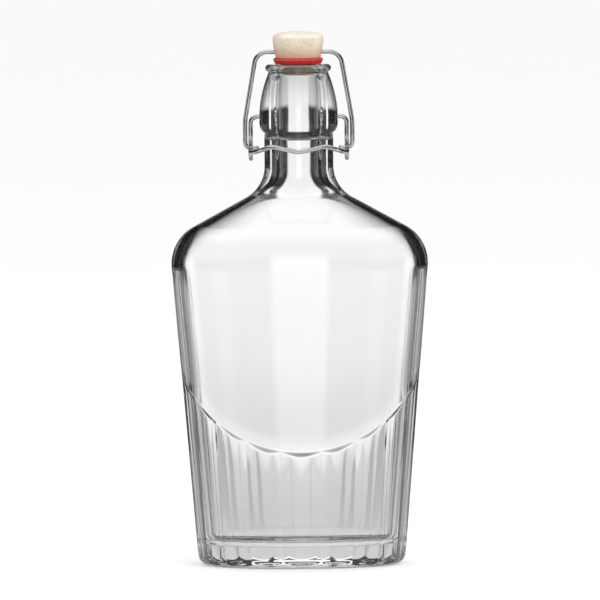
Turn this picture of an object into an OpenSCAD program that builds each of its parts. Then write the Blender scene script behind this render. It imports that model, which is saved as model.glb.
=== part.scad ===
// Flat glass flask with a swing-top wire closure.
// Millimetres. +Z is up, the base stands on z = 0, and -Y is the side with the thumb bar.

/* [Glass body] */
// Widest width, at the shoulders
body_w = 102.6; // [96:0.2:108]
// Deepest depth, front to back, at the shoulders
body_d = 56; // [50:1:62]
// Width at the base, where the straight taper would meet the floor
base_w = 83; // [78:0.2:88]
// Roundness of the plan section: 2 is an ellipse, more is squarer
section_power = 2.15; // [2:0.05:2.4]
// Height of the centre of the shoulder's round corner
shoulder_z = 120.8; // [117:0.2:124]
// Radius of the shoulder's round corner
shoulder_r = 17; // [14:0.5:20]
// Slope of the shoulder from the horizontal, in degrees
shoulder_slope = 28.6; // [26:0.1:31]
// Radius of the hollow curve between shoulder and neck
flare_r = 14; // [11:0.5:16]
// Glass thickness at the widest place
wall = 2.8; // [2.2:0.1:3.4]
// Height of the inner floor
floor_z = 8.5; // [6:0.5:10]
// Radius of the outer heel
heel_r = 4.5; // [3.5:0.5:5.5]
// How far the middle of the base is pushed up
push_up = 2.2; // [1:0.1:3]

/* [Flutes] */
// Flat flutes all round the lower body
flute_count = 20; // [16:2:24]
// How far the front and back flutes lie under the smooth surface
flute_inset = 0.8; // [0.4:0.1:1.2]
// Radius of the round edge where the smooth front and back end
shield_r = 53.4; // [50:0.2:57]
// Height of the centre of that round edge
shield_z = 100.7; // [97:0.1:104]

/* [Neck] */
// Diameter of the plain neck
neck_d = 27.6; // [26:0.2:29]
// Diameter of the collar that holds the closure
collar_d = 31.6; // [30.6:0.1:32.6]
// Diameter just under the lip
throat_d = 24.5; // [23.5:0.1:25.5]
// Diameter of the round lip
lip_d = 26.3; // [25.5:0.1:27]
// Diameter of the bore
bore_d = 16; // [15:0.1:16.6]
// Height of the glass alone
glass_h = 200.5; // [199:0.1:202]
// Distance from the lip's top down to the foot of the collar
collar_drop = 27.3; // [26.5:0.1:28]

/* [Closure] */
// Diameter of the steel wire
wire_d = 1.8; // [1.6:0.05:1.9]
// Radial clearance of a wire in its hole
running_gap = 0.07; // [0.04:0.01:0.1]
// Height of the lever's pivots in the collar, below the lip
pivot_drop = 21; // [20:0.1:22]
// Height of the eyes below the pivots
crank = 12.6; // [12:0.1:13.2]
// How far the eyes rest behind the pivots, past dead centre
over_centre = 1; // [0.5:0.1:1.5]
// Distance of each lever arm from the middle
arm_x = 19.2; // [19:0.1:19.6]
// Reach of the thumb bar in front of the pivots
bar_reach = 22.3; // [22.2:0.1:24]
// Greatest distance of each side of the bail from the middle
bail_x = 21.4; // [21.4:0.1:22.2]
// Lean of the bail's upper sides, in degrees
bail_lean = 9.7; // [8:0.1:11]

/* [Stopper] */
// Diameter of the stopper's head at its top
head_top_d = 20.4; // [19.6:0.1:21]
// Diameter of the head where it meets the gasket
head_low_d = 18.2; // [17.6:0.1:19]
// Height of the head
head_h = 10.6; // [10:0.1:12]
// Height of the cross wire above the foot of the head
cross_h = 2.4; // [2.2:0.1:3]
// Depth of the spigot below the lip
spigot_depth = 5; // [4:0.1:5.4]
// Thickness of the gasket
gasket_t = 2.3; // [2:0.1:2.6]
// Outer diameter of the gasket
gasket_d = 20; // [19.4:0.1:20.6]

/* [Hidden] */
$fa = 4;
$fs = 0.4;

glass_color = [0.86, 0.92, 0.92, 0.45];
steel_color = [0.75, 0.75, 0.76];
cream_color = [0.93, 0.88, 0.78];
red_color = [0.83, 0.16, 0.15];

outer_steps = 64;
inner_steps = 48;
neck_r = neck_d / 2;
bore_r = bore_d / 2;
collar_r = collar_d / 2;
throat_r = throat_d / 2;
wire_r = wire_d / 2;
hole_r = wire_r + running_gap;

// The front outline, from the base up: straight taper, round shoulder, slope, hollow flare.
corner_a = body_w / 2 - shoulder_r;
corner_end = 90 - shoulder_slope;
taper = atan((body_w - base_w) / 2 / shoulder_z);
slope_run = (corner_a + shoulder_r * cos(corner_end) - neck_r
             - flare_r * (1 - cos(corner_end))) / cos(shoulder_slope);
flare_z = shoulder_z + (shoulder_r + flare_r) * sin(corner_end) + slope_run * sin(shoulder_slope);
base_a = corner_a + shoulder_r * cos(taper)
         - (shoulder_z - shoulder_r * sin(taper)) * tan(taper);
// The loft stops this much wider than the neck, so that the two never touch along a tangent.
neck_step = 0.12;
flare_end = acos(1 - neck_step / flare_r);

function corner_point(angle) =
    [corner_a + shoulder_r * cos(angle), shoulder_z + shoulder_r * sin(angle)];
function flare_point(angle) =
    [neck_r + flare_r * (1 - cos(angle)), flare_z - flare_r * sin(angle)];
outline = concat(
    [for (i = [0 : 8]) corner_point(-taper + (corner_end + taper) * i / 8)],
    [for (i = [0 : 7]) flare_point(corner_end + (flare_end - corner_end) * i / 7)]
);

// The depth follows the width, from the round neck to the flat body.
function half_depth(a) = neck_r + (a - neck_r) * (body_d / 2 - neck_r) / (body_w / 2 - neck_r);
function power_at(a) = 2 + (section_power - 2) * max(0, a - neck_r) / (body_w / 2 - neck_r);

// The cavity follows the same outline at a smaller size, a little lower under the shoulder.
cavity_drop = 1;
function inner_a(a) = bore_r + (a - neck_r) * (body_w / 2 - wall - bore_r) / (body_w / 2 - neck_r);
function inner_b(a) = bore_r + (half_depth(a) - neck_r) * (body_d / 2 - wall - bore_r)
                      / (body_d / 2 - neck_r);

function signed_power(v, p) = sign(v) * pow(abs(v), p);
function ring(a, b, power, z, steps, start = 0) = [
    for (i = [0 : steps - 1])
        let (t = start + 360 * i / steps)
        [a * signed_power(cos(t), 2 / power), b * signed_power(sin(t), 2 / power), z]
];

// A closed solid through rings of points, from the lowest ring up.
module loft(rings) {
    steps = len(rings[0]);
    last = len(rings) - 1;
    sides = [
        for (j = [0 : last - 1])
            for (i = [0 : steps - 1])
                let (k = (i + 1) % steps, low = j * steps, high = low + steps)
                each [[low + i, high + i, high + k], [low + i, high + k, low + k]]
    ];
    bottom = [for (i = [0 : steps - 1]) i];
    top = [for (i = [steps - 1 : -1 : 0]) last * steps + i];
    polyhedron(points = [for (r = rings) each r], faces = concat([bottom, top], sides));
}

// Glass ------------------------------------------------------------------------------------------

// Half depth where the straight taper would meet the floor
base_b = half_depth(base_a);
function taper_a(z) = base_a + z * tan(taper);
function heel_inset(angle) = heel_r * (1 - sin(angle));
function heel_ring(angle) =
    let (z = heel_r * (1 - cos(angle)), d = heel_inset(angle))
    ring(taper_a(z) - d, half_depth(taper_a(z)) - d, section_power, z, outer_steps);

module smooth_body() {
    loft(concat(
        [for (angle = [0 : 18 : 90]) heel_ring(angle)],
        [for (p = outline) ring(p[0], half_depth(p[0]), power_at(p[0]), p[1], outer_steps)]
    ));
}

// The pushed-up middle of the base leaves a flat bearing ring under the heel.
bearing_w = 3;
module base_hollow() {
    rim = heel_r + bearing_w;
    loft([
        for (u = [0 : 0.25 : 1])
            let (size = cos(75 * u), lift = push_up * sin(75 * u) / sin(75))
            ring((base_a - rim) * size, (base_b - rim) * size, section_power,
                 u == 0 ? -0.5 : lift, inner_steps)
    ]);
}

// A straight tapered prism whose ridges lie just inside the smooth surface.
module fluted_prism() {
    half_turn = 180 / flute_count;
    side_scale = 0.994 / pow(cos(half_turn), 2 / section_power);
    loft([
        for (z = [-2, shield_z + 4])
            let (a = taper_a(z))
            ring(a * side_scale, half_depth(a) - flute_inset, section_power, z,
                 flute_count, half_turn)
    ]);
}

// Everything that stays smooth: the round shield on front and back, and all above its centre.
module smooth_region() {
    translate([0, 0, shield_z])
        rotate([90, 0, 0])
            cylinder(r = shield_r, h = body_d + 10, center = true);
    translate([-body_w, -body_d, shield_z])
        cube([2 * body_w, 2 * body_d, glass_h]);
}

module cavity() {
    round_r = 5;
    floor_outer = taper_a(floor_z);
    low_a = inner_a(floor_outer);
    low_b = inner_b(floor_outer);
    loft(concat(
        [for (angle = [0 : 22.5 : 90])
            let (z = floor_z + round_r * (1 - cos(angle)), d = round_r * (1 - sin(angle)))
            ring(low_a - d, low_b - d, section_power, z, inner_steps)],
        [for (p = outline)
            ring(inner_a(p[0]), inner_b(p[0]), power_at(p[0]), p[1] - cavity_drop, inner_steps)]
    ));
}

// The neck's outside, as [radius, height]: plain neck, undercut collar, taper, throat and lip.
bead_r = 1.6;
collar_low = glass_h - collar_drop;
undercut_h = 5;
collar_wide = collar_low + undercut_h;
throat_z = glass_h - 2 * bead_r - 1;
neck_overlap = 7;
neck_profile = concat(
    [[0, flare_z - neck_overlap], [neck_r, flare_z - neck_overlap], [neck_r, collar_low]],
    [for (i = [1 : 5])
        let (u = sin(18 * i), v = 1 - cos(18 * i))
        [neck_r + (collar_r - neck_r) * u, collar_low + undercut_h * v]],
    [for (i = [1 : 8])
        let (u = i / 8)
        [throat_r + (collar_r - throat_r) * (1 - u * u), collar_wide + (throat_z - collar_wide) * u]],
    [for (angle = [-75 : 15 : 90])
        [lip_d / 2 - bead_r + bead_r * cos(angle), glass_h - bead_r + bead_r * sin(angle)]],
    [[0, glass_h]]
);

mouth_r = bore_r + 0.8;
mouth_depth = 8;
pivot_z = glass_h - pivot_drop;

// Each dimple is a short straight hole with a wide countersink.
dimple_depth = 3;
dimple_x = collar_r - dimple_depth;
sink_from = 1.6;
sink_w = 1.5;
module dimple(side) {
    translate([side * dimple_x, 0, pivot_z])
        rotate([0, side * 90, 0]) {
            cylinder(r = hole_r, h = 2 * dimple_depth);
            translate([0, 0, sink_from])
                cylinder(r1 = hole_r, r2 = hole_r + sink_w, h = sink_w);
            translate([0, 0, sink_from + sink_w])
                cylinder(r = hole_r + sink_w, h = dimple_depth);
        }
}

module bottle() {
    color(glass_color)
    difference() {
        union() {
            intersection() {
                smooth_body();
                union() {
                    fluted_prism();
                    smooth_region();
                }
            }
            rotate_extrude()
                polygon(neck_profile);
        }
        cavity();
        base_hollow();
        translate([0, 0, flare_z - neck_overlap - cavity_drop])
            cylinder(r = bore_r, h = glass_h);
        translate([0, 0, glass_h - mouth_depth])
            cylinder(r1 = bore_r, r2 = mouth_r + 0.1, h = mouth_depth + 1);
        dimple(1);
        dimple(-1);
    }
}

// Wires ------------------------------------------------------------------------------------------

tube_sides = 10;
// Bent stretches are a hair thinner than the straight pins that they run into.
bend_r = wire_r - 0.03;

function unit(v) = v / norm(v);
function tangent(path, i, closed) =
    let (n = len(path),
         before = closed ? path[(i + n - 1) % n] : path[max(i - 1, 0)],
         after = closed ? path[(i + 1) % n] : path[min(i + 1, n - 1)])
    unit(after - before);
function flatten_on(v, t) = unit(v - (v * t) * t);

// A round tube along a path, its rings carried along without twist.
module tube(path, radius, first_normal, closed = false) {
    count = len(path);
    tangents = [for (i = [0 : count - 1]) tangent(path, i, closed)];
    normals = [
        for (i = 0, n = flatten_on(first_normal, tangents[0]);
             i < count;
             i = i + 1, n = i < count ? flatten_on(n, tangents[i]) : n)
            n
    ];
    points = [
        for (i = [0 : count - 1])
            let (n = normals[i], b = cross(tangents[i], n))
            for (s = [0 : tube_sides - 1])
                let (angle = 360 * s / tube_sides)
                path[i] + radius * (cos(angle) * n + sin(angle) * b)
    ];
    stretches = closed ? count : count - 1;
    skin = [
        for (j = [0 : stretches - 1])
            for (s = [0 : tube_sides - 1])
                let (k = (s + 1) % tube_sides, low = j * tube_sides, high = (j + 1) % count * tube_sides)
                each [[low + s, low + k, high + k], [low + s, high + k, high + s]]
    ];
    ends = closed ? [] : [
        [for (s = [tube_sides - 1 : -1 : 0]) s],
        [for (s = [0 : tube_sides - 1]) (count - 1) * tube_sides + s]
    ];
    faces = [for (f = concat(skin, ends)) [for (k = [len(f) - 1 : -1 : 0]) f[k]]];
    polyhedron(points = points, faces = faces);
}

// A smooth curve through hand-set points, as an open Catmull-Rom spline.
function spline(p, steps) = [
    for (i = [0 : len(p) - 2])
        let (a = p[max(i - 1, 0)], b = p[i], c = p[i + 1], d = p[min(i + 2, len(p) - 1)])
        for (s = [0 : (i == len(p) - 2 ? steps : steps - 1)])
            let (t = s / steps)
            0.5 * ((2 * b) + (c - a) * t + (2 * a - 5 * b + 4 * c - d) * t * t
                   + (3 * b - a - 3 * c + d) * t * t * t)
];

eye_z = pivot_z - crank;
eye_y = over_centre;
eye_r = hole_r + wire_r + 0.03;
eye_drop = 2.5;
arm_bend = 2.6;
pin_in = dimple_x + 0.3;
joint_overlap = 0.2;

// Each side of the thumb bar: straight forward from the eye, in, up to a crest, down to the middle.
bar_points = [
    [arm_x, eye_y - eye_r, eye_z - 0.7],
    [arm_x, -8, eye_z - 1],
    [arm_x - 1.6, -15.6, eye_z - 0.7],
    [arm_x - 4.8, -20.2, eye_z + 0.6],
    [arm_x - 8.7, -bar_reach + 0.3, eye_z + 1.7],
    [arm_x - 13.7, -bar_reach, eye_z + 0.7],
    [0, -bar_reach, eye_z - 0.4]
];
bar_side = spline(bar_points, 4);
bar_path = concat(
    bar_side,
    [for (i = [len(bar_side) - 2 : -1 : 0]) [-bar_side[i][0], bar_side[i][1], bar_side[i][2]]]
);

eye_path = [
    for (i = [0 : 23])
        let (angle = 15 * i + 7.5)
        [0, eye_y + eye_r * cos(angle), eye_z + eye_r * sin(angle) - (sin(angle) < 0 ? eye_drop : 0)]
];

arm_path = concat(
    [for (angle = [90 : -15 : 0])
        [arm_x - arm_bend + arm_bend * cos(angle), 0, pivot_z - arm_bend + arm_bend * sin(angle)]],
    [[arm_x, 0, eye_z + eye_r - joint_overlap]]
);

module lever_side() {
    translate([pin_in, 0, pivot_z])
        rotate([0, 90, 0])
            cylinder(r = wire_r, h = arm_x - arm_bend + joint_overlap - pin_in);
    tube(arm_path, bend_r, [0, 1, 0]);
    translate([arm_x, 0, 0])
        tube(eye_path, wire_r, [1, 0, 0], closed = true);
}

module lever_wire() {
    color(steel_color) {
        lever_side();
        mirror([1, 0, 0])
            lever_side();
        tube(bar_path, bend_r, [0, 0, 1]);
    }
}

// The bail lies in a plane through the eyes and the cross wire; v runs down that plane.
seat_gap = 0.1;
cross_z = glass_h + seat_gap + gasket_t + cross_h;
bail_v = norm([over_centre, cross_z - eye_z]);
bail_tilt = asin(over_centre / bail_v);
top_bend = 5.2;
bow_r = 30;
foot_bend = 2.1;
foot_x = bail_x - foot_bend;
foot_in = 15.9;
top_x = bail_x - bow_r * (1 - cos(bail_lean)) - top_bend * cos(bail_lean);

function in_plane(x, v) = [x, v * sin(bail_tilt), cross_z - v * cos(bail_tilt)];
function bend(cx, cv, r, from, to, steps) = [
    for (i = [0 : steps])
        let (angle = from + (to - from) * i / steps)
        in_plane(cx + r * cos(angle), cv - r * sin(angle))
];
// The slanted side runs from the top bend to the bow.
side_length = 21;
shift_x = top_x - side_length * sin(bail_lean);
bow_v = top_bend * (1 - sin(bail_lean)) + side_length * cos(bail_lean) + bow_r * sin(bail_lean);
bail_path = concat(
    bend(shift_x, top_bend, top_bend, 90, bail_lean, 8),
    bend(bail_x - bow_r, bow_v, bow_r, bail_lean, 0, 4),
    bend(foot_x, bail_v - foot_bend, foot_bend, 0, -90, 6)
);

module bail_side() {
    tube(bail_path, bend_r, [0, 1, 0]);
    translate([foot_in, eye_y, eye_z])
        rotate([0, 90, 0])
            cylinder(r = wire_r, h = foot_x + joint_overlap - foot_in);
}

module bail_wire() {
    color(steel_color) {
        translate([0, 0, cross_z])
            rotate([0, 90, 0])
                cylinder(r = wire_r, h = 2 * (shift_x + joint_overlap), center = true);
        bail_side();
        mirror([1, 0, 0])
            bail_side();
    }
}

// Stopper ----------------------------------------------------------------------------------------

gasket_z = glass_h + seat_gap;
head_z = gasket_z + gasket_t;
groove_r = 7;
bead_out = 7.5;
tip_r = 6.3;
head_round = 2;
crown = 0.8;

stopper_profile = concat(
    [[0, glass_h - spigot_depth],
     [tip_r - 0.8, glass_h - spigot_depth],
     [tip_r, glass_h - spigot_depth + 0.8],
     [bead_out - 0.3, gasket_z - 1.4],
     [bead_out, gasket_z - 1],
     [bead_out, gasket_z - 0.4],
     [groove_r, gasket_z - 0.05],
     [groove_r, head_z],
     [head_low_d / 2 - 0.5, head_z],
     [head_low_d / 2, head_z + 0.5]],
    [for (angle = [0 : 15 : 75])
        [head_top_d / 2 - head_round + head_round * cos(angle),
         head_z + head_h - crown - head_round + head_round * sin(angle)]],
    [[head_top_d / 2 - head_round, head_z + head_h - crown + 0.05],
     [head_top_d / 4, head_z + head_h - crown / 4],
     [0, head_z + head_h]]
);

module stopper_head() {
    color(cream_color)
    difference() {
        rotate_extrude()
            polygon(stopper_profile);
        translate([0, 0, cross_z])
            rotate([0, 90, 0])
                cylinder(r = hole_r, h = 2 * head_top_d, center = true);
    }
}

module gasket() {
    inner = groove_r + 0.02;
    foot = head_low_d / 2 + 0.25;
    color(red_color)
    rotate_extrude()
        polygon([
            [inner, gasket_z],
            [foot - 0.3, gasket_z],
            [foot, gasket_z + 0.3],
            [gasket_d / 2 - 0.1, gasket_z + gasket_t * 0.6],
            [gasket_d / 2, gasket_z + gasket_t * 0.72],
            [gasket_d / 2 - 0.1, gasket_z + gasket_t * 0.86],
            [gasket_d / 2 - 0.5, head_z - 0.02],
            [inner, head_z - 0.02]
        ]);
}

bottle();
lever_wire();
bail_wire();
stopper_head();
gasket();
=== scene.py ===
# Flat fluted glass flask with a swing-top wire closure: the visual model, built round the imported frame.
# Lengths are in millimetres until a mesh is made, where MM turns them into metres.
import bpy
import numpy as np
from math import asin, atan, cos, degrees, hypot, pi, radians, sin, sqrt, tan
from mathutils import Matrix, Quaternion, Vector

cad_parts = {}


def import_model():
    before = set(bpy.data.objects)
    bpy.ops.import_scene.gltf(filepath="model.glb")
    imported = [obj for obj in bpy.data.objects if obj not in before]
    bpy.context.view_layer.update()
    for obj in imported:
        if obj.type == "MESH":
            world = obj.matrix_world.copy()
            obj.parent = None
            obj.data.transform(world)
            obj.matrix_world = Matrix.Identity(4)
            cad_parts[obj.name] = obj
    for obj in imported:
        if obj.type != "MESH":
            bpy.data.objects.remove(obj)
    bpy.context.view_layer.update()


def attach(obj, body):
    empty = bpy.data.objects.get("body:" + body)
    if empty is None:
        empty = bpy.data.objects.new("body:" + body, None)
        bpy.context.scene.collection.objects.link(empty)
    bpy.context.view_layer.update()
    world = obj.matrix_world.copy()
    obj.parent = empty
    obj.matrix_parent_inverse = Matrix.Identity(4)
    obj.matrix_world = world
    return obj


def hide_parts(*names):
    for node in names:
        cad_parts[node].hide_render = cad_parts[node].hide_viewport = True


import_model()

MM = 0.001

# Driving dimensions, the same as the frame's ---------------------------------------------------

BODY_W, BODY_D, BASE_W = 102.6, 56.0, 83.0
SECTION_POWER = 2.15
SHOULDER_Z, SHOULDER_R, SHOULDER_SLOPE = 120.8, 17.0, radians(28.6)
FLARE_R = 14.0
WALL, FLOOR_Z, HEEL_R, PUSH_UP, BEARING_W = 2.8, 8.5, 4.5, 2.2, 3.0
FLOOR_DOME = 2.0
CAVITY_DROP, FLOOR_ROUND = 1.0, 5.0
FLUTES = 20
SHIELD_R, SHIELD_Z = 53.4, 100.7
NECK_R, COLLAR_R, THROAT_R, LIP_R, BORE_R = 13.8, 15.8, 12.25, 13.15, 8.0
GLASS_H, BEAD_R, MOUTH_R, MOUTH_DEPTH = 200.5, 1.6, 8.8, 8.0
WIRE_R = 0.9
PIVOT_Z = GLASS_H - 21.0
EYE_Z, EYE_Y, EYE_R, EYE_DROP = PIVOT_Z - 12.6, 1.0, 1.9, 2.5
ARM_X, ARM_BEND, BAR_REACH, PIN_IN = 19.2, 2.6, 22.3, 13.1
BAIL_X, BAIL_LEAN, TOP_BEND, BOW_R, FOOT_BEND, FOOT_IN = 21.4, radians(9.7), 5.2, 30.0, 2.1, 15.9
SIDE_LENGTH = 21.0
GASKET_Z, GASKET_T, GASKET_R = GLASS_H + 0.1, 2.3, 10.0
HEAD_Z, HEAD_H, CROSS_Z = GASKET_Z + GASKET_T, 10.6, GASKET_Z + GASKET_T + 2.4
HEAD_TOP_R, HEAD_LOW_R = 10.2, 9.1
SPIGOT_Z = GLASS_H - 5.0

# The front outline's derived values
CORNER_A = BODY_W / 2 - SHOULDER_R
CORNER_END = pi / 2 - SHOULDER_SLOPE
TAPER = atan((BODY_W - BASE_W) / 2 / SHOULDER_Z)
CORNER_OUT = CORNER_A + SHOULDER_R * cos(CORNER_END)
FLARE_OUT = NECK_R + FLARE_R * (1 - cos(CORNER_END))
SLOPE_RUN = (CORNER_OUT - FLARE_OUT) / cos(SHOULDER_SLOPE)
FLARE_Z = SHOULDER_Z + (SHOULDER_R + FLARE_R) * sin(CORNER_END) + SLOPE_RUN * sin(SHOULDER_SLOPE)
BASE_A = CORNER_A + SHOULDER_R * cos(TAPER) - (SHOULDER_Z - SHOULDER_R * sin(TAPER)) * tan(TAPER)


# Nodes and materials ---------------------------------------------------------------------------

def add(tree, kind, at=None, **inputs):
    """A node with some of its inputs set to a value or linked to a socket."""
    made = tree.nodes.new(kind)
    for name, value in (at or {}).items():
        setattr(made, name, value)
    for name, value in inputs.items():
        name = int(name[1:]) if name[0] == "i" and name[1:].isdigit() else name.replace("_", " ")
        if isinstance(value, bpy.types.NodeSocket):
            tree.links.new(value, made.inputs[name])
        else:
            made.inputs[name].default_value = value
    return made


def calc(tree, operation, *values):
    """A node that works out one number."""
    made = add(tree, "ShaderNodeMath", {"operation": operation})
    for i, value in enumerate(values):
        if isinstance(value, bpy.types.NodeSocket):
            tree.links.new(value, made.inputs[i])
        else:
            made.inputs[i].default_value = value
    return made.outputs[0]


def ramp(tree, factor, stops, smooth="LINEAR"):
    """A colour ramp from (place, grey or colour) pairs."""
    made = add(tree, "ShaderNodeValToRGB", i0=factor)
    made.color_ramp.interpolation = smooth
    while len(made.color_ramp.elements) < len(stops):
        made.color_ramp.elements.new(0.5)
    for element, (place, value) in zip(made.color_ramp.elements, stops):
        element.position = place
        element.color = (*value, 1) if isinstance(value, tuple) else (value, value, value, 1)
    return made.outputs[0]


def material(name):
    made = bpy.data.materials.new(name)
    made.use_nodes = True
    tree = made.node_tree
    tree.nodes.clear()
    return made, tree


def noise(tree, where, scale, detail=2.0, roughness=0.5):
    made = add(tree, "ShaderNodeTexNoise", Vector=where, Scale=scale, Detail=detail, Roughness=roughness)
    return made.outputs[0]


def multiplied(tree, first, second):
    """Two colours multiplied."""
    mix = add(tree, "ShaderNodeMix", {"data_type": "RGBA", "blend_type": "MULTIPLY"})
    mix.inputs[0].default_value = 1.0
    tree.links.new(first, mix.inputs[6])
    tree.links.new(second, mix.inputs[7])
    return mix.outputs[2]


def finish_material(tree, shader):
    add(tree, "ShaderNodeOutputMaterial", Surface=shader.outputs[0])


def stretched(tree, scale):
    """Object coordinates, stretched by a scale for each axis."""
    where = add(tree, "ShaderNodeTexCoord").outputs["Object"]
    return add(tree, "ShaderNodeMapping", Vector=where, Scale=scale).outputs[0]


def glass_material():
    made, tree = material("flint_glass")
    # Faint waves left by the mould, and a finer chill ripple
    waves = noise(tree, stretched(tree, (1, 1, 0.55)), 85, 1.5, 0.4)
    ripple = noise(tree, stretched(tree, (1, 1, 0.7)), 420, 1.0, 0.5)
    height = calc(tree, "ADD", waves, calc(tree, "MULTIPLY", ripple, 0.12))
    bump = add(tree, "ShaderNodeBump", Height=height, Strength=0.35, Distance=0.00022)
    cloud = noise(tree, stretched(tree, (1, 1, 0.4)), 30)
    tint = ramp(tree, cloud, [(0.3, (0.955, 0.968, 0.964)), (0.7, (0.975, 0.985, 0.982))])
    # Painted shade: the glass's colour darkens where a face is seen at a low angle, far more than real
    # glass does, so light that crosses such a face comes out darker and draws the glass edges dark
    slant = add(tree, "ShaderNodeLayerWeight", Blend=0.5).outputs["Facing"]
    edge = ramp(tree, slant, [(0.0, 1.0), (0.34, 1.0), (0.5, 0.5), (0.64, 0.14), (0.8, 0.03)])
    shader = add(tree, "ShaderNodeBsdfPrincipled", Base_Color=multiplied(tree, tint, edge), Roughness=0.0,
                 IOR=1.5, Transmission_Weight=1.0, Normal=bump.outputs[0])
    clear = add(tree, "ShaderNodeBsdfTransparent", Color=(0.93, 0.95, 0.945, 1))
    shadow = add(tree, "ShaderNodeLightPath").outputs["Is Shadow Ray"]
    mix = add(tree, "ShaderNodeMixShader", i0=shadow, i1=shader.outputs[0], i2=clear.outputs[0])
    finish_material(tree, mix)
    return made


def steel_material():
    made, tree = material("plated_wire")
    where = stretched(tree, (1, 1, 1))
    cloud = noise(tree, where, 260, 3.0)
    fine = noise(tree, where, 2600, 2.0)
    colour = ramp(tree, cloud, [(0.35, (0.60, 0.60, 0.61)), (0.6, (0.78, 0.775, 0.77))])
    dull = ramp(tree, fine, [(0.3, 0.13), (0.75, 0.27)])
    bump = add(tree, "ShaderNodeBump", Height=cloud, Strength=0.3, Distance=0.00008)
    shader = add(tree, "ShaderNodeBsdfPrincipled", Base_Color=colour, Metallic=1.0, Roughness=dull,
                 Normal=bump.outputs[0])
    finish_material(tree, shader)
    return made


def stopper_material():
    made, tree = material("cream_ceramic")
    where = stretched(tree, (1, 1, 1))
    speckle = noise(tree, where, 1500, 3.0, 0.6)
    cloud = noise(tree, where, 190, 2.0)
    mixed = calc(tree, "ADD", calc(tree, "MULTIPLY", speckle, 0.6), calc(tree, "MULTIPLY", cloud, 0.4))
    cream = ramp(tree, mixed, [
        (0.36, (0.74, 0.64, 0.50)), (0.5, (0.85, 0.77, 0.65)), (0.64, (0.93, 0.88, 0.79)),
    ])
    # Painted light and shade by height: the spigot painted dark as a painted shadow inside the neck, the
    # head's foot painted red and darker as a painted glow from the gasket and painted shade, and the head
    # painted lighter towards its top as a painted highlight
    place = add(tree, "ShaderNodeTexCoord").outputs["Object"]
    z = add(tree, "ShaderNodeSeparateXYZ", Vector=place).outputs[2]
    rise = calc(tree, "DIVIDE", calc(tree, "SUBTRACT", z, SPIGOT_Z * MM), (HEAD_Z + HEAD_H - SPIGOT_Z) * MM)
    painted_light_by_height = ramp(tree, rise, [
        (0.0, (0.40, 0.36, 0.31)), (0.3, (0.40, 0.36, 0.31)), (0.41, (0.66, 0.40, 0.29)),
        (0.53, (0.77, 0.60, 0.48)), (0.68, (0.87, 0.82, 0.76)), (0.91, (0.97, 0.97, 0.97)),
    ])
    dull = ramp(tree, cloud, [(0.3, 0.34), (0.7, 0.5)])
    bump = add(tree, "ShaderNodeBump", Height=speckle, Strength=0.35, Distance=0.00006)
    # The cream is multiplied by the painted light and shade by height
    shader = add(tree, "ShaderNodeBsdfPrincipled", Base_Color=multiplied(tree, cream, painted_light_by_height), Roughness=dull,
                 Subsurface_Weight=0.12, Subsurface_Scale=0.002, Normal=bump.outputs[0])
    finish_material(tree, shader)
    return made


def rubber_material():
    made, tree = material("red_rubber")
    where = stretched(tree, (1, 1, 1))
    cloud = noise(tree, where, 700, 3.0)
    colour = ramp(tree, cloud, [(0.3, (0.52, 0.02, 0.02)), (0.7, (0.66, 0.04, 0.036))])
    dull = ramp(tree, cloud, [(0.3, 0.32), (0.7, 0.46)])
    grain = noise(tree, where, 3200, 2.0)
    bump = add(tree, "ShaderNodeBump", Height=grain, Strength=0.25, Distance=0.00005)
    shader = add(tree, "ShaderNodeBsdfPrincipled", Base_Color=colour, Roughness=dull,
                 Normal=bump.outputs[0])
    finish_material(tree, shader)
    return made


# Mesh helpers ----------------------------------------------------------------------------------

def mesh_object(name, points, faces, look):
    """A smooth-shaded object from points in millimetres."""
    mesh = bpy.data.meshes.new(name)
    mesh.from_pydata((np.asarray(points, float) * MM).tolist(), [], faces)
    mesh.shade_smooth()
    mesh.materials.append(look)
    mesh.validate()
    made = bpy.data.objects.new(name, mesh)
    bpy.context.scene.collection.objects.link(made)
    return made


def grid_faces(rows, columns, first=0):
    """Quads between rings of points, each ring closed on itself."""
    faces = []
    for j in range(rows - 1):
        low = first + j * columns
        for i in range(columns):
            k = (i + 1) % columns
            faces.append((low + i, low + k, low + columns + k, low + columns + i))
    return faces


def closed_skin(name, rings, look):
    """A closed skin through rings of points, its two ends drawn together on a middle point each."""
    rings = [np.asarray(r, float) for r in rings]
    columns, rows = len(rings[0]), len(rings)
    points = np.concatenate(rings + [rings[0].mean(0)[None], rings[-1].mean(0)[None]])
    low, high = rows * columns, rows * columns + 1
    faces = grid_faces(rows, columns)
    faces += [(low, (i + 1) % columns, i) for i in range(columns)]
    top = (rows - 1) * columns
    faces += [(high, top + i, top + (i + 1) % columns) for i in range(columns)]
    return mesh_object(name, points, faces, look)


def arc(cx, cy, r, start, end, steps):
    """Points on an arc, angles in degrees."""
    angles = [radians(start + (end - start) * i / steps) for i in range(steps + 1)]
    return [(cx + r * cos(t), cy + r * sin(t)) for t in angles]


def turned(profile, steps):
    """A ring of points round the axis for each (radius, height)."""
    turns = 2 * pi * np.arange(steps) / steps
    return [np.stack([r * np.cos(turns), r * np.sin(turns), np.full(steps, z)], 1) for r, z in profile]


def lathe(name, profile, steps, look):
    return closed_skin(name, turned(profile, steps), look)


def resample(path, spacing):
    """The same path with points at an even spacing along it."""
    path = np.asarray(path, float)
    run = np.concatenate([[0], np.cumsum(np.linalg.norm(np.diff(path, axis=0), axis=1))])
    places = np.linspace(0, run[-1], max(2, round(run[-1] / spacing) + 1))
    return np.stack([np.interp(places, run, path[:, i]) for i in range(3)], 1)


def smoothed(path, passes):
    """Corners eased by averaging each point with its neighbours; the ends stay."""
    path = path.copy()
    for _ in range(passes):
        path[1:-1] = (path[:-2] + 2 * path[1:-1] + path[2:]) / 4
    return path


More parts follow.
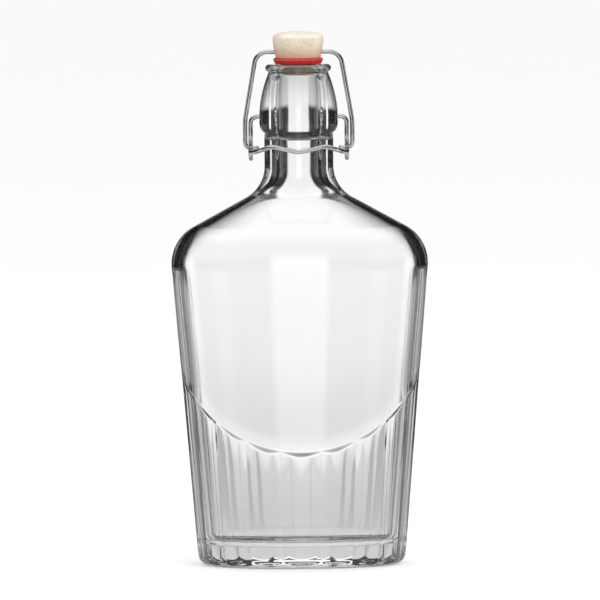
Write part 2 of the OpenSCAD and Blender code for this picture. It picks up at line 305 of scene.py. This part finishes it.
def wire(name, path, radius, look, sides=20, spacing=0.45, passes=2):
    """A round wire along a path, with rounded ends."""
    path = smoothed(resample(path, spacing), passes)
    tangents = np.gradient(path, axis=0)
    tangents /= np.linalg.norm(tangents, axis=1)[:, None]
    normal = np.cross(tangents[0], (0.0, 0.6, 0.8))
    turns = 2 * pi * np.arange(sides) / sides
    rings = []
    last = len(path) - 1
    cap, cap_reach = 5, radius * 0.5
    for i, (p, t) in enumerate(zip(path, tangents)):
        normal = normal - t * normal.dot(t)
        normal /= np.linalg.norm(normal)
        side = np.cross(t, normal)
        circle = np.cos(turns)[:, None] * normal + np.sin(turns)[:, None] * side
        if i in (0, last):
            steps = [sin(pi / 2 * s / cap) for s in range(1, cap)]
            offsets = [(u, (1 - sqrt(1 - u * u))) for u in steps]
            if i == 0:
                rings += [p + radius * u * circle + t * cap_reach * v for u, v in offsets]
                rings.append(p + t * cap_reach + radius * circle)
            else:
                rings.append(p - t * cap_reach + radius * circle)
                rings += [p + radius * u * circle - t * cap_reach * v for u, v in reversed(offsets)]
        elif 1 < i < last - 1:
            rings.append(p + radius * circle)
    return closed_skin(name, rings, look)


# Glass -----------------------------------------------------------------------------------------

def half_depth(a):
    return NECK_R + (a - NECK_R) * (BODY_D / 2 - NECK_R) / (BODY_W / 2 - NECK_R)


def power_at(a):
    return 2 + (SECTION_POWER - 2) * np.maximum(0, a - NECK_R) / (BODY_W / 2 - NECK_R)


def inner_a(a):
    return BORE_R + (a - NECK_R) * (BODY_W / 2 - WALL - BORE_R) / (BODY_W / 2 - NECK_R)


def inner_b(a):
    return BORE_R + (half_depth(a) - NECK_R) * (BODY_D / 2 - WALL - BORE_R) / (BODY_D / 2 - NECK_R)


def taper_a(z):
    return BASE_A + z * tan(TAPER)


def signed_power(v, p):
    return np.sign(v) * np.abs(v) ** p


def soft_min(x, y, r):
    return 0.5 * (x + y - np.sqrt((x - y) ** 2 + r * r))


def soft_max(x, y, r):
    return 0.5 * (x + y + np.sqrt((x - y) ** 2 + r * r))


# Every column of the mesh belongs to a flute and lies a share of the way from its one ridge to the next.
# Columns crowd towards the ridges, and the two side flutes have more, for the lever's dimples.
COLUMNS, SIDE_COLUMNS = 15, 34
flute_of, share_of = [], []
for k in range(FLUTES):
    count = SIDE_COLUMNS if k in (FLUTES // 2 - 1, FLUTES - 1) else COLUMNS
    for j in range(count):
        even = j / count
        crowded = (1 - cos(pi * even)) / 2
        flute_of.append(k)
        share_of.append(0.35 * even + 0.65 * crowded if count == SIDE_COLUMNS else crowded)
flute_of, share_of = np.array(flute_of), np.array(share_of)
HALF_FLUTE = pi / FLUTES
ridge_turns = HALF_FLUTE + 2 * HALF_FLUTE * np.arange(FLUTES + 1)
# How far the ridges stay inside the smooth section, as a share at the sides and in millimetres in front,
# how wide they are worn round, and how far a flute's middle is hollowed
RIDGE_SIDE_SHARE, RIDGE_INSET, RIDGE_ROUND, HOLLOW = 0.994, 0.55, 0.6, 0.8
RIDGE_SIDE_SCALE = RIDGE_SIDE_SHARE / cos(HALF_FLUTE) ** (2 / SECTION_POWER)


def ridge_points(a, b, turns):
    return (a * RIDGE_SIDE_SCALE * signed_power(np.cos(turns), 2 / SECTION_POWER),
            (b - RIDGE_INSET) * signed_power(np.sin(turns), 2 / SECTION_POWER))


def ridge_angles():
    """How far the outline turns at each ridge."""
    a = taper_a(SHIELD_Z / 2)
    x, y = ridge_points(a, half_depth(a), ridge_turns[:-1])
    edges = np.arctan2(np.roll(y, -1) - y, np.roll(x, -1) - x)
    return (edges - np.roll(edges, 1) + pi) % (2 * pi) - pi


RIDGE_TURN = ridge_angles()


def section(a, b, power):
    """Under each column: the smooth section's x and y, and how far inside it the flutes lie."""
    a, b, power = (np.broadcast_to(np.asarray(v, float), flute_of.shape) for v in (a, b, power))
    x0, y0 = ridge_points(a, b, ridge_turns[flute_of])
    x1, y1 = ridge_points(a, b, ridge_turns[flute_of + 1])
    x, y = x0 + share_of * (x1 - x0), y0 + share_of * (y1 - y0)
    grow = (np.abs(x / a) ** power + np.abs(y / b) ** power) ** (-1 / power)
    width = np.hypot(x1 - x0, y1 - y0)
    worn = sum(
        RIDGE_TURN[(flute_of + side) % FLUTES] * RIDGE_ROUND / 4
        * np.maximum(0, 1 - width * np.abs(share_of - side) / RIDGE_ROUND) ** 2
        for side in (0, 1)
    )
    depth = np.hypot(x, y) * (grow - 1) + worn + HOLLOW * 4 * share_of * (1 - share_of)
    return x * grow, y * grow, depth


def ring(a, b, power, z):
    x, y, _ = section(a, b, power)
    return np.stack([x, y, np.broadcast_to(z, x.shape)], 1)


def sunk(x, y, depth, z):
    """The section moved towards the axis by a depth under each column."""
    keep = 1 - depth / np.hypot(x, y)
    return np.stack([x * keep, y * keep, np.broadcast_to(z, x.shape)], 1)


HEEL_BLEND = 0.25


def heel_rings(steps=14):
    """Round heel: the smooth inset section, or the flutes where they lie deeper."""
    rings = []
    for i in range(steps + 1):
        angle = pi / 2 * i / steps
        z, d = HEEL_R * (1 - cos(angle)), HEEL_R * (1 - sin(angle))
        a = taper_a(z)
        x, y, flute = section(a, half_depth(a), SECTION_POWER)
        small_x, small_y, _ = section(a - d, half_depth(a) - d, SECTION_POWER)
        heel = np.hypot(x, y) - np.hypot(small_x, small_y)
        rings.append(sunk(x, y, soft_max(flute, heel, HEEL_BLEND), z))
    return rings


FIRST_GUESS = 60.0


def shield_height(offset):
    """Under each column, the height where the surface lies that far outside the shield's round edge."""
    z = np.full(flute_of.shape, FIRST_GUESS)
    for _ in range(12):
        a = taper_a(z)
        x, _, _ = section(a, half_depth(a), SECTION_POWER)
        z = SHIELD_Z - np.sqrt((SHIELD_R + offset) ** 2 - x ** 2)
    return z


# The step under the shield's edge is crisp in front and eased at the back
back_share = np.clip(0.5 + 1.6 * np.sin(HALF_FLUTE * (1 + 2 * (flute_of + share_of))), 0, 1)
CHAMFER = 0.64 - 0.52 * back_share
CHAMFER_START = 0.3 + 2.7 * back_share
CHAMFER_BLEND = 0.14
BAND_BELOW, BAND_ABOVE = 3.2 + 9 * back_share, 0.7 + 1.5 * back_share
PLAIN_RINGS, BAND_RINGS, UPPER_RINGS = 18, 20, 12


def body_ring(z):
    """The body's outside at a height for each column: flutes below the shield's edge, smooth above it."""
    a = taper_a(z)
    x, y, flute = section(a, half_depth(a), SECTION_POWER)
    outside = np.hypot(x, np.minimum(z, SHIELD_Z) - SHIELD_Z) - SHIELD_R
    step_depth = CHAMFER * soft_max(outside, 0, CHAMFER_START)
    return sunk(x, y, soft_min(flute, step_depth, CHAMFER_BLEND), z)


def body_rings():
    """Plain rings over the flutes, close ones across the shield's edge, plain ones up to the shoulder."""
    band_low, band_high = shield_height(BAND_BELOW), shield_height(-BAND_ABOVE)
    corner_low = SHOULDER_Z - SHOULDER_R * sin(TAPER)
    rings = []
    for i in range(1, PLAIN_RINGS):
        rings.append(body_ring(HEEL_R + (band_low - HEEL_R) * i / PLAIN_RINGS))
    for i in range(BAND_RINGS):
        u = i / (BAND_RINGS - 1)
        rings.append(body_ring(shield_height(BAND_BELOW - (BAND_BELOW + BAND_ABOVE) * u)))
    for i in range(1, UPPER_RINGS):
        rings.append(body_ring(band_high + (corner_low - band_high) * i / UPPER_RINGS))
    return rings


def outline(corner_steps, slope_steps, flare_steps):
    """The shoulder's outline as (half width, height), from the taper's top to the neck."""
    corner = arc(CORNER_A, SHOULDER_Z, SHOULDER_R, -degrees(TAPER), degrees(CORNER_END), corner_steps)
    flare = [(NECK_R + FLARE_R * (1 - cos(t)), FLARE_Z - FLARE_R * sin(t))
             for t in (CORNER_END * (1 - i / flare_steps) for i in range(flare_steps + 1))]
    (xa, za), (xb, zb) = corner[-1], flare[0]
    shares = [i / slope_steps for i in range(1, slope_steps)]
    slope = [(xa + (xb - xa) * u, za + (zb - za) * u) for u in shares]
    return corner + slope + flare


COLLAR_LOW = GLASS_H - 27.3
COLLAR_WIDE = COLLAR_LOW + 5
THROAT_Z = GLASS_H - 2 * BEAD_R - 1
LIP_ROUND = 0.6


def neck_profile():
    """The neck's outside and the lip, down to the foot of the mouth's cone, as (radius, height)."""
    plain = [(NECK_R, FLARE_Z + (COLLAR_LOW - FLARE_Z) * i / 4) for i in range(1, 4)]
    turns = [pi / 2 * i / 12 for i in range(13)]
    undercut = [(NECK_R + (COLLAR_R - NECK_R) * sin(t),
                 COLLAR_LOW + (COLLAR_WIDE - COLLAR_LOW) * (1 - cos(t))) for t in turns]
    # Close steps where the dimples are, wider ones above
    shares = [i / 56 for i in range(1, 16)] + [15 / 56 + (41 / 56) * i / 14 for i in range(1, 15)]
    taper = [(THROAT_R + (COLLAR_R - THROAT_R) * (1 - u * u), COLLAR_WIDE + (THROAT_Z - COLLAR_WIDE) * u)
             for u in shares]
    lip = arc(LIP_R - BEAD_R, GLASS_H - BEAD_R, BEAD_R, -75, 90, 16)
    mouth = arc(MOUTH_R + LIP_ROUND, GLASS_H - LIP_ROUND, LIP_ROUND, 90, 175, 6)
    cone = [(MOUTH_R + (BORE_R - MOUTH_R) * u, GLASS_H - 1 - (MOUTH_DEPTH - 1) * u)
            for u in (i / 5 for i in range(1, 6))]
    return plain + undercut + taper + lip + mouth + cone


# The dimples: where their floor lies, how wide it is, how wide their slope is, and where they surely end
DIMPLE_X, DIMPLE_FLAT, DIMPLE_SLOPE, DIMPLE_REACH = 12.8, 1.1, 1.35, 2.7


def with_dimples(points):
    """Sinks the two dimples for the lever's pins into the collar."""
    off_axis = np.hypot(points[:, 1], points[:, 2] - PIVOT_Z)
    near = (off_axis < DIMPLE_REACH) & (np.abs(points[:, 0]) > 12)
    u = np.clip((off_axis - DIMPLE_FLAT) / DIMPLE_SLOPE, 0, 1)
    sink = (np.abs(points[:, 0]) - DIMPLE_X) * (1 - u * u * (3 - 2 * u))
    points[:, 0] = np.where(near, points[:, 0] - np.sign(points[:, 0]) * sink, points[:, 0])
    return points


CORNER_STEPS, SLOPE_STEPS, FLARE_STEPS = 22, 6, 16
WALL_STEPS, FLOOR_CORNER_STEPS = 14, 12


def bottle_glass(look):
    """The whole bottle as one skin: under the base, up the outside, over the lip and down the inside."""
    rim = HEEL_R + BEARING_W
    base_b = half_depth(BASE_A)
    hollow = [ring((BASE_A - rim) * u, (base_b - rim) * u, SECTION_POWER, PUSH_UP * (1 - u ** 4))
              for u in (0.04, 0.2, 0.36, 0.52, 0.66, 0.78, 0.86, 0.92, 0.96, 0.985, 1.0)]
    bearing = [ring(BASE_A - HEEL_R - d, base_b - HEEL_R - d, SECTION_POWER, 0) for d in (2.2, 1.1)]
    upper = outline(CORNER_STEPS, SLOPE_STEPS, FLARE_STEPS)
    shoulder = [ring(a, half_depth(a), power_at(a), z) for a, z in upper]
    neck = [with_dimples(ring(r, r, 2, z)) for r, z in neck_profile()]
    bore = [ring(BORE_R, BORE_R, 2, z) for z in np.linspace(GLASS_H - MOUTH_DEPTH, FLARE_Z, 12)[1:-1]]
    inside = [ring(inner_a(a), inner_b(a), power_at(a), z - CAVITY_DROP) for a, z in reversed(upper)]
    wide = BODY_W / 2 - SHOULDER_R * (1 - cos(TAPER))
    wide_z = SHOULDER_Z - SHOULDER_R * sin(TAPER) - CAVITY_DROP
    top_a, top_b = inner_a(wide), inner_b(wide)
    low_a, low_b = inner_a(taper_a(FLOOR_Z)), inner_b(taper_a(FLOOR_Z))
    walls = []
    for i in range(1, WALL_STEPS):
        u = i / WALL_STEPS
        z = wide_z + (FLOOR_Z + FLOOR_ROUND - wide_z) * u
        walls.append(ring(top_a + (low_a - top_a) * u, top_b + (low_b - top_b) * u, SECTION_POWER, z))
    corner = []
    for i in range(FLOOR_CORNER_STEPS + 1):
        t = pi / 2 * (1 - i / FLOOR_CORNER_STEPS)
        inset, z = FLOOR_ROUND * (1 - sin(t)), FLOOR_Z + FLOOR_ROUND * (1 - cos(t))
        corner.append(ring(low_a - inset, low_b - inset, SECTION_POWER, z))
    flat_a, flat_b = low_a - FLOOR_ROUND, low_b - FLOOR_ROUND
    bottom = [ring(flat_a * u, flat_b * u, SECTION_POWER, FLOOR_Z + FLOOR_DOME * (1 - u * u) ** 1.5)
              for u in (0.96, 0.9, 0.8, 0.7, 0.6, 0.5, 0.4, 0.3, 0.2, 0.1, 0.03)]
    outside = hollow + bearing + heel_rings() + body_rings() + shoulder + neck
    return closed_skin("bottle_glass", outside + bore + inside + walls + corner + bottom, look)


# Wires -----------------------------------------------------------------------------------------

def spline(p, steps):
    """A Catmull-Rom curve through given points."""
    p = np.asarray(p, float)
    made = []
    for i in range(len(p) - 1):
        a, b, c, d = p[max(i - 1, 0)], p[i], p[i + 1], p[min(i + 2, len(p) - 1)]
        for t in np.arange(steps) / steps:
            made.append(0.5 * (2 * b + (c - a) * t + (2 * a - 5 * b + 4 * c - d) * t * t
                               + (3 * b - a - 3 * c + d) * t ** 3))
    return made + [p[-1]]


def mirrored(path):
    """The path followed by its own mirror image, from the middle out."""
    return list(path) + [np.array([-q[0], q[1], q[2]]) for q in reversed(path[:-1])]


def lever_path():
    """One wire from pin to pin: arm, eye, thumb bar, eye, arm."""
    pin = [(PIN_IN, 0, PIVOT_Z), (ARM_X - ARM_BEND, 0, PIVOT_Z)]
    shoulder = [(x, 0, z) for x, z in arc(ARM_X - ARM_BEND, PIVOT_Z - ARM_BEND, ARM_BEND, 75, 0, 6)]
    arm = [(ARM_X, 0, EYE_Z + 4.2), (ARM_X, EYE_Y * 0.9, EYE_Z + EYE_R + 0.6)]
    back = [(ARM_X, y, z) for y, z in arc(EYE_Y, EYE_Z, EYE_R, 45, 0, 4)]
    under = [(ARM_X, y, z - EYE_DROP) for y, z in arc(EYE_Y, EYE_Z, EYE_R, 0, -180, 12)]
    front = spline([
        (ARM_X, EYE_Y - EYE_R, EYE_Z - EYE_DROP * 0.5),
        (ARM_X, EYE_Y - EYE_R - 0.3, EYE_Z - 0.9),
        (ARM_X, EYE_Y - EYE_R - 1.6, EYE_Z - 0.2),
        (ARM_X, -8, EYE_Z - 1),
        (ARM_X - 1.6, -15.6, EYE_Z - 0.7),
        (ARM_X - 4.8, -20.2, EYE_Z + 0.6),
        (ARM_X - 8.7, 0.3 - BAR_REACH, EYE_Z + 1.7),
        (ARM_X - 13.7, -BAR_REACH, EYE_Z + 0.7),
        (0, -BAR_REACH, EYE_Z - 0.4),
    ], 8)
    return mirrored([np.array(p, float) for p in pin + shoulder + arm + back + under + front])


def bail_path():
    """One wire from foot to foot, in the plane through the eyes and the cross wire."""
    fall = hypot(EYE_Y, CROSS_Z - EYE_Z)
    tilt = asin(EYE_Y / fall)
    top_x = BAIL_X - BOW_R * (1 - cos(BAIL_LEAN)) - TOP_BEND * cos(BAIL_LEAN)
    bend_x = top_x - SIDE_LENGTH * sin(BAIL_LEAN)
    bow_v = TOP_BEND * (1 - sin(BAIL_LEAN)) + SIDE_LENGTH * cos(BAIL_LEAN) + BOW_R * sin(BAIL_LEAN)
    foot_x = BAIL_X - FOOT_BEND
    flat = [(FOOT_IN, -fall)]
    flat += arc(foot_x, FOOT_BEND - fall, FOOT_BEND, -90, 0, 8)
    flat += arc(BAIL_X - BOW_R, -bow_v, BOW_R, 0, degrees(BAIL_LEAN), 8)
    flat += arc(bend_x, -TOP_BEND, TOP_BEND, degrees(BAIL_LEAN), 90, 10)
    flat += [(0, 0)]
    return mirrored([np.array([x, -v * sin(tilt), CROSS_Z + v * cos(tilt)]) for x, v in flat])


# Stopper ---------------------------------------------------------------------------------------

def stopper(look):
    spigot = [(0.3, SPIGOT_Z), (2.5, SPIGOT_Z), (4.8, SPIGOT_Z)]
    spigot += arc(5.5, SPIGOT_Z + 0.8, 0.8, -90, 0, 5)
    spigot += [(6.7, GASKET_Z - 2.8), (7.15, GASKET_Z - 1.5)]
    spigot += arc(7.1, GASKET_Z - 0.8, 0.4, -20, 120, 6)
    groove = [(7.0, GASKET_Z + 0.1), (7.0, HEAD_Z - 0.2), (7.0, HEAD_Z)]
    foot = [(7.8, HEAD_Z), (HEAD_LOW_R - 0.7, HEAD_Z)]
    foot += arc(HEAD_LOW_R - 0.5, HEAD_Z + 0.5, 0.5, -70, 0, 5)
    side_top = HEAD_Z + HEAD_H - 2.8
    side = []
    side_low = HEAD_Z + 0.5
    for i in range(1, 36):
        u = i / 36
        swell = 0.12 * sin(pi * u)
        r = HEAD_LOW_R + (HEAD_TOP_R - HEAD_LOW_R) * u + swell
        side.append((r, side_low + (side_top - side_low) * u))
    crown = arc(HEAD_TOP_R - 2, side_top, 2, 0, 82, 12)
    top = [(7.4, HEAD_Z + HEAD_H - 0.62), (6.2, HEAD_Z + HEAD_H - 0.4), (4.4, HEAD_Z + HEAD_H - 0.2),
           (2.4, HEAD_Z + HEAD_H - 0.06), (0.3, HEAD_Z + HEAD_H)]
    made = lathe("stopper", spigot + groove + foot + side + crown + top, 144, look)
    # The holes where the cross wire goes in
    hole_r, hole_edge, hole_depth = 0.98, 0.75, 1.8
    for v in made.data.vertices:
        p = v.co / MM
        q = hypot(p.y, p.z - CROSS_Z)
        if abs(p.x) > 7.6 and q < 1.9:
            u = min(max((q - hole_r) / hole_edge, 0), 1)
            v.co.x -= (1 if p.x > 0 else -1) * (1 - u * u * (3 - 2 * u)) * hole_depth * MM
    return made


def gasket(look):
    inner, foot = 7.02, HEAD_LOW_R + 0.25
    profile = [(inner, GASKET_Z + 0.2), (inner + 0.2, GASKET_Z), (foot - 0.4, GASKET_Z)]
    profile += arc(foot - 0.35, GASKET_Z + 0.35, 0.35, -90, -20, 4)
    profile += [(GASKET_R - 0.25, GASKET_Z + GASKET_T * 0.5)]
    profile += arc(GASKET_R - 0.3, GASKET_Z + GASKET_T * 0.7, 0.3, -35, 60, 6)
    profile += [(GASKET_R - 0.45, HEAD_Z - 0.12), (GASKET_R - 0.6, HEAD_Z - 0.03)]
    profile += [(8.2, HEAD_Z - 0.02), (inner + 0.2, HEAD_Z - 0.02)]
    profile += [(inner, HEAD_Z - 0.2)]
    steps = 144
    points = np.concatenate(turned(profile, steps))
    faces = grid_faces(len(profile), steps)
    last = (len(profile) - 1) * steps
    faces += [(last + i, last + (i + 1) % steps, (i + 1) % steps, i) for i in range(steps)]
    return mesh_object("gasket_ring", points, faces, look)


# Stage -----------------------------------------------------------------------------------------

CAMERA_PLACE, CAMERA_AIM, CAMERA_ROLL, CAMERA_LENS = (0, -4.0, 0.42), (0, 0, 0.1059), radians(-0.45), 602


def camera():
    """Far off in front and a little above, looking down about five degrees."""
    data = bpy.data.cameras.new("camera")
    made = bpy.data.objects.new("camera", data)
    bpy.context.scene.collection.objects.link(made)
    made.location = CAMERA_PLACE
    aim = Vector(CAMERA_AIM)
    roll = Quaternion((0, 0, 1), CAMERA_ROLL)
    made.rotation_mode = "QUATERNION"
    made.rotation_quaternion = (aim - made.location).to_track_quat("-Z", "Y") @ roll
    data.sensor_width = 36
    data.lens = CAMERA_LENS
    bpy.context.scene.camera = made


PALE = 0.97
# Places in a quarter turn, in degrees, against darkness: one bright panel, or a second one between its
# neighbours
ONE_PANEL = ((0, 0.98), (32, 0.98), (35, 0.0), (55, 0.0), (58, 0.98), (90, 0.98))
TWO_PANELS = ((0, 0.0), (5, 0.0), (8, 0.98), (32, 0.98), (35, 0.0), (55, 0.0), (58, 0.98), (82, 0.98),
              (85, 0.0))
# Degrees above level against how much of the gaps shows, and against the dark band over the panels
GAP_RISE = ((0, 1.0), (36, 1.0), (46, 0.0))
BAND_RISE = ((0, 0.0), (9, 0.0), (13, 0.95), (36, 0.95), (46, 0.0))
# Metres from the flask against the floor's glow, painted darker near the flask as painted shade, and
# against how much of either set of gaps shows on it
FLOOR_REACH = 2.0
FLOOR_GLOW_AND_SHADE = ((0, 0.74), (0.07, 0.62), (0.2, 0.6), (0.5, 0.76), (0.9, 0.94), (1.3, 0.98), (2.0, 1.0))
NEAR_GAPS = ((0, 0.0), (0.1, 0.1), (0.35, 0.34), (1.2, 0.34))
WIDE_GAPS = ((0, 0.0), (0.85, 0.0), (1.2, 1.0))


def scaled(tree, factor, stops, whole):
    """A ramp whose places are shares of a whole."""
    return ramp(tree, factor, [(place / whole, value) for place, value in stops])


def panel_gaps(tree, x, y, gaps):
    """How dark the tent is towards a direction. Its panels repeat every quarter turn."""
    turn = calc(tree, "MULTIPLY", calc(tree, "ARCTAN2", x, y), 180 / pi)
    folded = calc(tree, "DIVIDE", calc(tree, "FLOORED_MODULO", calc(tree, "ADD", turn, 45), 90), 90)
    return scaled(tree, folded, gaps, 90)


def world():
    """Pale to the camera and even on matt faces. Glass and wire see a white tent with dark gaps in it."""
    made = bpy.data.worlds.new("tent")
    bpy.context.scene.world = made
    made.use_nodes = True
    tree = made.node_tree
    tree.nodes.clear()
    way = add(tree, "ShaderNodeTexCoord").outputs["Generated"]
    x, y, z = add(tree, "ShaderNodeSeparateXYZ", Vector=way).outputs
    rise = calc(tree, "DIVIDE", calc(tree, "MULTIPLY", calc(tree, "ARCSINE", z), 180 / pi), 90)
    window, over = scaled(tree, rise, GAP_RISE, 90), scaled(tree, rise, BAND_RISE, 90)
    dark = calc(tree, "MAXIMUM", calc(tree, "MULTIPLY", panel_gaps(tree, x, y, ONE_PANEL), window), over)
    seen = add(tree, "ShaderNodeBackground", Color=(PALE, PALE, PALE, 1), Strength=1.0)
    lit = add(tree, "ShaderNodeBackground", Color=calc(tree, "SUBTRACT", 1.0, dark), Strength=1.08)
    even = add(tree, "ShaderNodeBackground", Color=(1, 1, 1, 1), Strength=0.98)
    path = add(tree, "ShaderNodeLightPath")
    matt, direct = path.outputs["Is Diffuse Ray"], path.outputs["Is Camera Ray"]
    soft = add(tree, "ShaderNodeMixShader", i0=matt, i1=lit.outputs[0], i2=even.outputs[0])
    mix = add(tree, "ShaderNodeMixShader", i0=direct, i1=soft.outputs[0], i2=seen.outputs[0])
    add(tree, "ShaderNodeOutputWorld", Surface=mix.outputs[0])


def floor():
    """A wide pale floor. Glass and wire see it as a glowing panel with painted shade, greyer close by the
    flask, with the tent's gaps carried on over it.
    """
    size, count, drop = 60.0, 8, 0.05
    points, faces = [], []
    for j in range(count + 1):
        for i in range(count + 1):
            points.append((size * (i / count - 0.5) / MM, size * (j / count - 0.5) / MM, -drop))
    for j in range(count):
        for i in range(count):
            k = j * (count + 1) + i
            faces.append((k, k + 1, k + count + 2, k + count + 1))
    look, tree = material("pale_floor")
    place = add(tree, "ShaderNodeTexCoord").outputs["Object"]
    x, y, _ = add(tree, "ShaderNodeSeparateXYZ", Vector=place).outputs
    squares = calc(tree, "ADD", calc(tree, "MULTIPLY", x, x), calc(tree, "MULTIPLY", y, y))
    reach = calc(tree, "DIVIDE", calc(tree, "SQRT", squares), FLOOR_REACH)
    # The floor's glow as glass and wire see it, painted darker near the flask as painted shade
    level = scaled(tree, reach, FLOOR_GLOW_AND_SHADE, FLOOR_REACH)
    near, wide = scaled(tree, reach, NEAR_GAPS, FLOOR_REACH), scaled(tree, reach, WIDE_GAPS, FLOOR_REACH)
    dark = calc(tree, "MAXIMUM", calc(tree, "MULTIPLY", panel_gaps(tree, x, y, TWO_PANELS), near),
                calc(tree, "MULTIPLY", panel_gaps(tree, x, y, ONE_PANEL), wide))
    glow = add(tree, "ShaderNodeEmission", Strength=1.06,
               Color=calc(tree, "MULTIPLY", level, calc(tree, "SUBTRACT", 1.0, dark)))
    diffuse = add(tree, "ShaderNodeBsdfDiffuse", Color=(0.97, 0.97, 0.97, 1))
    straight = add(tree, "ShaderNodeLightPath").outputs["Is Camera Ray"]
    mix = add(tree, "ShaderNodeMixShader", i0=straight, i1=glow.outputs[0], i2=diffuse.outputs[0])
    add(tree, "ShaderNodeOutputMaterial", Surface=mix.outputs[0])
    mesh_object("floor", points, faces, look)


def soft_light(name, place, size, watts):
    """An area light on the flask. It is left out of reflections, where it would show as a square."""
    data = bpy.data.lights.new(name, "AREA")
    data.size = size
    data.energy = watts
    made = bpy.data.objects.new(name, data)
    bpy.context.scene.collection.objects.link(made)
    made.location = place
    made.rotation_euler = (Vector((0, 0, 0.12)) - made.location).to_track_quat("-Z", "Y").to_euler()
    made.visible_glossy = False
    made.visible_transmission = False


# The object ------------------------------------------------------------------------------------

camera()
world()
floor()
soft_light("key", (0.9, -0.8, 0.9), 0.7, 9.0)
soft_light("fill", (-0.9, -0.9, 0.5), 0.5, 2.5)

steel = steel_material()
bottle = bottle_glass(glass_material())
lever = wire("lever_wire_bent", lever_path(), WIRE_R, steel)
bail = wire("bail_wire_bent", bail_path(), WIRE_R, steel)
head = stopper(stopper_material())
ring_seal = gasket(rubber_material())

for piece, body, node, slot in (
    (bottle, "bottle", "bottle", "glass"),
    (lever, "lever", "lever_wire", "steel_wire"),
    (bail, "bail", "bail_wire", "steel_wire"),
    (head, "stopper", "stopper_head", "cream_stopper"),
    (ring_seal, "stopper", "gasket", "red_rubber"),
):
    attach(piece, body)
    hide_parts(node)

scene = bpy.context.scene
scene.view_settings.view_transform = "Standard"
scene.cycles.max_bounces = 24
scene.cycles.transmission_bounces = 24
scene.cycles.glossy_bounces = 16
scene.cycles.transparent_max_bounces = 24
